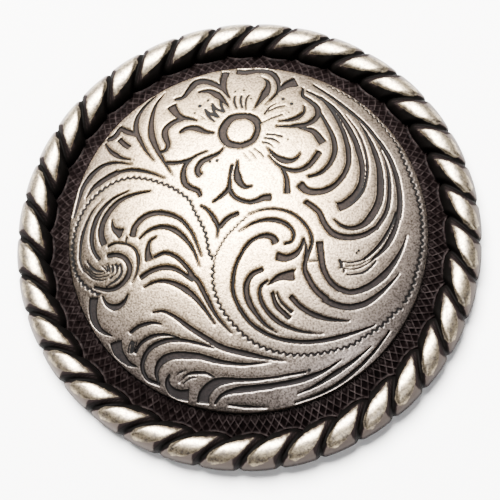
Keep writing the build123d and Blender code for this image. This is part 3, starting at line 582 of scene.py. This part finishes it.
# Painted light and shade: patches that brighten or darken the lands as the light falls on them; each
# patch's place and radius in mm, and its share of the brightness.
painted_patch_height = 4.2
for x, y, size, share in ((-14.0, -2.6, 6.5, 0.46), (-13.6, 4.6, 3.6, 0.90), (8.3, 8.6, 5.2, 0.70),
                          (5.6, 13.0, 4.2, 0.80), (-1.6, 13.4, 3.0, 1.18), (-9.6, 8.4, 4.4, 1.24),
                          (8.4, -3.2, 5.8, 1.34), (3.0, -6.2, 4.6, 1.30), (8.8, -10.6, 3.8, 1.62),
                          (12.6, 0.8, 3.6, 1.15), (-9.4, -9.8, 4.4, 0.84)):
    away = distance_from(tree, place, (x * MM, y * MM, painted_patch_height * MM))
    painted_light_patch = remap(tree, away, 0.2 * size * MM, size * MM, share, 1.0, smooth=True)
    lands = times(tree, lands, painted_light_patch)
# The middle, in the painted light, is the warmest, and the skirt, in the painted shade, stays grey.
warm = tree.nodes.new("ShaderNodeMix")
warm.data_type = "RGBA"
warm.inputs["A"].default_value = (0.96, 1.0, 1.10, 1)
warm.inputs["B"].default_value = (1.07, 0.985, 0.73, 1)
tree.links.new(remap(tree, painted_skirt_shade, 0.45, 1.0), warm.inputs["Factor"])
warmed = tree.nodes.new("ShaderNodeVectorMath")
warmed.operation = "MULTIPLY"
tree.links.new(dimmed(tree, tone, lands), warmed.inputs[0])
tree.links.new(warm.outputs["Result"], warmed.inputs[1])
tree.links.new(warmed.outputs[0], shader.inputs["Base Color"])
# Polished metal on the lands, and dull blackening in the cuts.
land = remap(tree, ragged, 0.0, 0.05)
tree.links.new(land, shader.inputs["Metallic"])
tree.links.new(remap(tree, land, 0, 1, 0.7, 0.38), shader.inputs["Roughness"])
roughen(tree, shader, grain, 0.6, 0.03)

dome = bpy.data.objects.new("engraved_dome", dome_mesh)
bpy.context.collection.objects.link(dome)
dome.data.materials.append(silver)
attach(dome, "root")
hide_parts("face_plate")

# Matted border: the casting's sloping band between the dome and the rope, punched all round
# with 150 small arched marks that open outward. Their ridges run on and cross their
# neighbours', and are worn grey. The hollows between them are black.
form = bmesh.new()
marks = 150
around = marks * 14
inner_r, inner_z = 14.34, 2.42
outer_r, outer_z = 16.70, 0.78
mouth_r = 14.80
rows = 40
section = [(inner_r + (outer_r - inner_r) * i / rows, inner_z + (outer_z - inner_z) * i / rows)
           for i in range(rows + 1)]
section += [(outer_r, 0.0), (mouth_r, 0.0), (mouth_r, 0.95), (inner_r, 1.32)]
turns = np.arange(around) * math.tau / around
points = [[form.verts.new((r * math.cos(t) * MM, r * math.sin(t) * MM, z * MM)) for r, z in section]
          for t in turns]


def join_round(form, points):
    """Faces between each closed section and the next, all the way round the ring."""
    for this, following in zip(points, points[1:] + points[:1]):
        for i in range(len(this)):
            j = (i + 1) % len(this)
            form.faces.new((this[i], following[i], following[j], this[j]))


join_round(form, points)
bmesh.ops.recalc_face_normals(form, faces=form.faces)
# Lengths in mm: beside, along the ring from the mark's start, and beyond, out from the dome's
# rim. A mark is an arch of this radius round its top, with legs that spread as they go out.
middle_r = 15.2
pitch = math.tau * middle_r / marks
radii = np.linspace(inner_r, outer_r, rows + 1)
beyond = radii - 14.52
arch_r = 0.25
leg_spread = 0.7
ridge_width = 0.07
tongue_width = 0.14


def beside_line(beside, line):
    """The distance in mm to the nearest of a line's copies, one to each mark."""
    return np.abs(((beside - line) / pitch + 0.5) % 1.0 * pitch - pitch / 2)


# The foot of each of the rope's strands bulges over the border, with a thin bright line.
strands = 36
foot_first = math.radians(6.4)
foot_stages = (0.0, 0.08, 0.25, 0.5, 0.75, 0.92, 1.0)
foot_radii = (16.42, 16.24, 16.02, 15.92, 16.02, 16.24, 16.42)
# Painted light and shade round the ring: the ridges are brightest at the lower right and darkest at the
# lower left.
painted_light_turns = (0.0, 1.6, 2.6, 3.9, 4.4, 5.0, 5.5, 6.3)
painted_light_share = (0.98, 0.82, 0.84, 0.74, 0.82, 1.4, 1.35, 1.0)
# Where its wave is above the slope's level a ridge stands proud, and below that level the
# surface is sunk, both square to the slope: this much outward and this much up.
lean_out, lean_up = 0.57, 0.82
ridge_height, slope_level, foot_height = 0.12, 0.4, 0.05
ridges = []
for t, strip in zip(turns, points):
    place_round = t * marks / math.tau
    mark = math.floor(place_round)
    uneven = math.sin(mark * 2.4) * 0.5 + math.sin(mark * 5.1) * 0.5
    beside = (place_round - mark + 0.06 * uneven) * pitch
    top = 0.38 + 0.04 * uneven
    middle = beside_line(beside, 0.5 * pitch)
    below = np.clip(beyond - top, 0, None)
    arch = np.abs(np.hypot(middle, beyond - top) - arch_r) + below
    legs = np.minimum(beside_line(beside, 0.5 * pitch + arch_r + leg_spread * below),
                      beside_line(beside, 0.5 * pitch - arch_r - leg_spread * below))
    legs = 0.82 * legs + 2 * np.clip(top - beyond, 0, None)
    ridge = np.clip(1.15 - np.minimum(arch, legs) / ridge_width, 0, 1)
    ridge = ridge * (1 - 0.3 * np.clip((beyond - 0.8) / 0.6, 0, 1))
    tongue = np.clip(1.6 - np.hypot(middle, 0.8 * (beyond - top - 0.04)) / tongue_width, 0, 1)
    # The wave carries random unevenness and the painted light and shade round the ring.
    wave = np.maximum(ridge, 0.55 * tongue) * (0.82 + 0.18 * uneven) * np.interp(t, painted_light_turns, painted_light_share)
    strand = ((t - foot_first) * strands / math.tau) % 1.0
    foot = radii - np.interp(strand, foot_stages, foot_radii)
    # Past each strand's foot, under the rope, the border is raised a little and black: blackening and
    # painted shade under the strands.
    under_rope = np.clip(foot / 0.08 + 0.5, 0, 1)
    wave = np.maximum(wave * (1 - under_rope), 0.85 * np.exp(-(foot / 0.045) ** 2))
    raised = ridge_height * (wave - slope_level) + foot_height * under_rope
    for i, v in enumerate(strip):
        ridges.append(wave[i] if i <= rows else 0.0)
        if i <= rows:
            v.co += Vector((math.cos(t) * lean_out, math.sin(t) * lean_out, lean_up)) * raised[i] * MM
border_mesh = bpy.data.meshes.new("matted_border")
form.to_mesh(border_mesh)
form.free()
layer = border_mesh.attributes.new("ridge", "FLOAT", "POINT")
layer.data.foreach_set("value", ridges)
border_mesh.polygons.foreach_set("use_smooth", [True] * len(border_mesh.polygons))

# The same blackening, rubbed grey on the ridges.
matting = bpy.data.materials.new("blackened_matting")
matting.use_nodes = True
tree = matting.node_tree
shader = tree.nodes["Principled BSDF"]
shader.inputs["Metallic"].default_value = 0.0
shader.inputs["Specular IOR Level"].default_value = 0.02
shader.inputs["Roughness"].default_value = 0.5
place = tree.nodes.new("ShaderNodeTexCoord")
ridge_node = tree.nodes.new("ShaderNodeAttribute")
ridge_node.attribute_name = "ridge"
rubbed = stirred(tree, ridge_node.outputs["Fac"], noise(tree, place, 2300, 6), 1.7)
worn = ramp(tree, remap(tree, rubbed, 0.55, 2.05), (
    (0.0, (0.0005, 0.0003, 0.0003)), (0.30, (0.0019, 0.0011, 0.0011)),
    (0.6, (0.0074, 0.0053, 0.0052)), (1.0, (0.0262, 0.0202, 0.0198)),
))
tree.links.new(worn, shader.inputs["Base Color"])
border = bpy.data.objects.new("matted_border", border_mesh)
bpy.context.collection.objects.link(border)
border.data.materials.append(matting)
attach(border, "root")
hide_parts("face_plate")

# Rope edge: the casting's outer ring of 36 twisted strands. The hollows between the strands
# run straight across the ring, leaning 38 degrees from the radius, clockwise outward. They and
# the inner flank are blackened, the crowns are buffed, and the back is flat and dull.
form = bmesh.new()
ring_r, rope_r, rope_z = 17.51, 1.49, 1.25
lean = math.tan(math.radians(38))
first = math.radians(1.4)
slices = strands * 34
stations = 52
points = []
for i in range(slices):
    t = math.tau * i / slices
    points.append([form.verts.new((math.cos(t), math.sin(t), 0)) for _ in range(stations)])
join_round(form, points)
round_tube = np.arange(stations) * math.tau / stations
# Across is -1 on the dome's side of the rope and 1 on the outside. The buffed top of each
# strand is a leaf with its point inward: the share of the strand's width where it starts and
# where it ends, stage by stage on the way across.
across = np.cos(round_tube)
leaf_inner, leaf_outer = -0.67, 0.86
stages = (leaf_inner, -0.40, 0.0, 0.40, 0.72, leaf_outer)
starts = np.interp(across, stages, (0.78, 0.30, 0.10, 0.07, 0.14, 0.34))
ends = np.interp(across, stages, (0.78, 0.80, 0.80, 0.75, 0.60, 0.34))
hollow_depth, flank_shallower = 0.30, 0.16
leaves, shades = [], []
for number, loop in enumerate(points):
    t = math.tau * number / slices
    shift = -rope_r * lean * across / (ring_r + rope_r * across)
    phase = ((t - shift - first) * strands / math.tau) % 1.0
    off = np.abs(2 * phase - 1)
    inside = np.minimum(phase - starts, ends - phase)
    inside = np.minimum(inside, np.minimum(across - leaf_inner, leaf_outer - across) * 0.4)
    leaf = np.clip((inside + 0.03) / 0.06, 0, 1)
    flank = np.clip((across - 0.55) / 0.35, 0, 1)
    # The round of a strand's section, with the hollow beside it.
    hollow = np.clip((off - 0.60 - 0.14 * flank) / (0.40 - 0.14 * flank), 0, 1)
    dent = (hollow_depth - flank_shallower * flank) * hollow ** 1.5 + 0.04 * off ** 2
    dent = dent + 0.05 * (1 - leaf) * np.clip(0.5 - across, 0, 1)
    out = rope_r * (1 - dent)
    # Outside the leaf, the outer flank is worn to bare metal, with painted light that brightens it
    # towards the light at the upper left, and painted shade that darkens it on its underside and
    # towards its outer edge.
    outer = np.clip((across - 0.30) / 0.12, 0, 1) * np.clip((phase - 0.09 + 0.07 * flank) / 0.05, 0, 1)
    outer = outer * np.clip((0.75 + 0.16 * flank - phase) / 0.05, 0, 1)
    outer = outer * np.clip(np.sin(round_tube) * 4 + 1.6, 0, 1)
    outer = outer * (0.79 + 0.12 * math.cos(t - math.radians(120))) * (1 - 0.06 * flank)
    outer = outer * (1 - 0.22 * np.clip((across - 0.93) / 0.06, 0, 1))
    # A dim band and a thin thread run along the far side of each strand.
    side = np.clip((phase - 0.52) / 0.05, 0, 1) * np.clip((0.87 - phase) / 0.03, 0, 1)
    side = side * np.clip((across + 0.80) / 0.1, 0, 1)
    thread = np.exp(-((phase - 0.90) / 0.022) ** 2) * np.clip((across + 0.85) / 0.1, 0, 1)
    shade = np.maximum.reduce([outer, side * 0.45, thread * 0.5])
    # The back is evenly dull.
    under = np.clip(-5 * np.sin(round_tube) - 2.25, 0, 1)
    leaves += list(inside - 0.5 * under)
    shades += list(shade * (1 - under) + 0.88 * under)
    for v, bend, r in zip(loop, round_tube, out):
        from_centre = ring_r + r * math.cos(bend)
        above = max(rope_z + r * math.sin(bend), 0)
        v.co = (from_centre * math.cos(t) * MM, from_centre * math.sin(t) * MM, above * MM)
bmesh.ops.recalc_face_normals(form, faces=form.faces)
rope_mesh = bpy.data.meshes.new("rope_edge")
form.to_mesh(rope_mesh)
form.free()
for title, values in (("leaf", leaves), ("shade", shades)):
    rope_mesh.attributes.new(title, "FLOAT", "POINT").data.foreach_set("value", values)
rope_mesh.polygons.foreach_set("use_smooth", [True] * len(rope_mesh.polygons))

# Bright silver inside each leaf, and outside it the blackening as far as its shade has it.
strand_silver = bpy.data.materials.new("rope_silver")
strand_silver.use_nodes = True
tree = strand_silver.node_tree
shader = tree.nodes["Principled BSDF"]
shader.inputs["Specular IOR Level"].default_value = 0.04
place = tree.nodes.new("ShaderNodeTexCoord")
leaf_node = tree.nodes.new("ShaderNodeAttribute")
leaf_node.attribute_name = "leaf"
shade_node = tree.nodes.new("ShaderNodeAttribute")
shade_node.attribute_name = "shade"
rub = noise(tree, place, 2600, 6)
edge = stirred(tree, leaf_node.outputs["Fac"], rub, 0.07)
buffed = remap(tree, edge, 0.02, 0.055)
worn = ramp(tree, shade_node.outputs["Fac"], (
    (0.0, (0.0004, 0.0002, 0.0001)), (0.25, (0.0012, 0.0006, 0.0005)),
    (0.5, (0.0075, 0.005, 0.005)), (0.8, (0.09, 0.073, 0.064)), (1.0, (0.24, 0.20, 0.175)),
))
bright = ramp(tree, rub, ((0.34, (0.235, 0.198, 0.162)), (0.56, (0.46, 0.375, 0.26))))
# The buffing fades towards the edge of each crown, and the cast skin shows through it as fine
# grey specks.
fading = remap(tree, edge, 0.03, 0.23, 0.38, 1.0)
specks = remap(tree, noise(tree, place, 6500, 4), 0.36, 0.58, 0.52, 1.08)
colour_mix = tree.nodes.new("ShaderNodeMix")
colour_mix.data_type = "RGBA"
tree.links.new(buffed, colour_mix.inputs["Factor"])
tree.links.new(worn, colour_mix.inputs["A"])
tree.links.new(dimmed(tree, bright, times(tree, fading, specks)), colour_mix.inputs["B"])
tree.links.new(colour_mix.outputs["Result"], shader.inputs["Base Color"])
clean = tree.nodes.new("ShaderNodeMath")
clean.operation = "MAXIMUM"
tree.links.new(remap(tree, shade_node.outputs["Fac"], 0.55, 0.85), clean.inputs[0])
tree.links.new(buffed, clean.inputs[1])
tree.links.new(clean.outputs[0], shader.inputs["Metallic"])
tree.links.new(remap(tree, clean.outputs[0], 0, 1, 0.7, 0.36), shader.inputs["Roughness"])
roughen(tree, shader, rub, 0.4, 0.04)
rope = bpy.data.objects.new("rope_edge", rope_mesh)
bpy.context.collection.objects.link(rope)
rope.data.materials.append(strand_silver)
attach(rope, "root")
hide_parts("face_plate")

# Screw post: the turned steel post in the hollow back, left as the solid is and given its
# nickel finish with the faint rings of the lathe.
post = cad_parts["screw_post"]
nickel = bpy.data.materials.new("turned_nickel")
nickel.use_nodes = True
tree = nickel.node_tree
shader = tree.nodes["Principled BSDF"]
shader.inputs["Base Color"].default_value = (0.52, 0.51, 0.49, 1)
shader.inputs["Metallic"].default_value = 1.0
shader.inputs["Roughness"].default_value = 0.32
place = tree.nodes.new("ShaderNodeTexCoord")
rings = tree.nodes.new("ShaderNodeTexWave")
rings.wave_type = "BANDS"
rings.bands_direction = "Z"
rings.inputs["Scale"].default_value = 2500
rings.inputs["Distortion"].default_value = 0.6
tree.links.new(place.outputs["Object"], rings.inputs["Vector"])
roughen(tree, shader, rings.outputs["Fac"], 0.3, 0.02)
for index in range(len(post.data.materials)):
    post.data.materials[index] = nickel

# Studio: a pale floor at the concho's back, a large soft light above and behind to the left,
# a weak one on the camera's side, and a pale grey room.
floor_form = bmesh.new()
bmesh.ops.create_grid(floor_form, x_segments=1, y_segments=1, size=1.5)
floor_mesh = bpy.data.meshes.new("floor")
floor_form.to_mesh(floor_mesh)
floor_form.free()
floor = bpy.data.objects.new("floor", floor_mesh)
bpy.context.collection.objects.link(floor)
floor.location.z = -0.02 * MM
paper = bpy.data.materials.new("pale_paper")
paper.use_nodes = True
shader = paper.node_tree.nodes["Principled BSDF"]
shader.inputs["Base Color"].default_value = (0.96, 0.96, 0.96, 1)
shader.inputs["Roughness"].default_value = 0.9
floor.data.materials.append(paper)

for name, spot, size, power, colour in (
    ("key", (-0.055, 0.165, 0.34), 0.29, 18.5, (1.0, 0.985, 0.96)),
    ("fill", (0.16, -0.22, 0.30), 0.20, 0.6, (0.97, 0.98, 1.0)),
):
    lamp_data = bpy.data.lights.new(name, "AREA")
    lamp_data.shape = "DISK"
    lamp_data.size = size
    lamp_data.energy = power
    lamp_data.color = colour
    lamp = bpy.data.objects.new(name, lamp_data)
    lamp.location = spot
    lamp.rotation_euler = (-Vector(spot)).to_track_quat("-Z", "Y").to_euler()
    bpy.context.collection.objects.link(lamp)
room = bpy.data.worlds.new("room")
room.use_nodes = True
backdrop = room.node_tree.nodes["Background"]
backdrop.inputs["Color"].default_value = (0.80, 0.80, 0.82, 1)
backdrop.inputs["Strength"].default_value = 0.2
bpy.context.scene.world = room
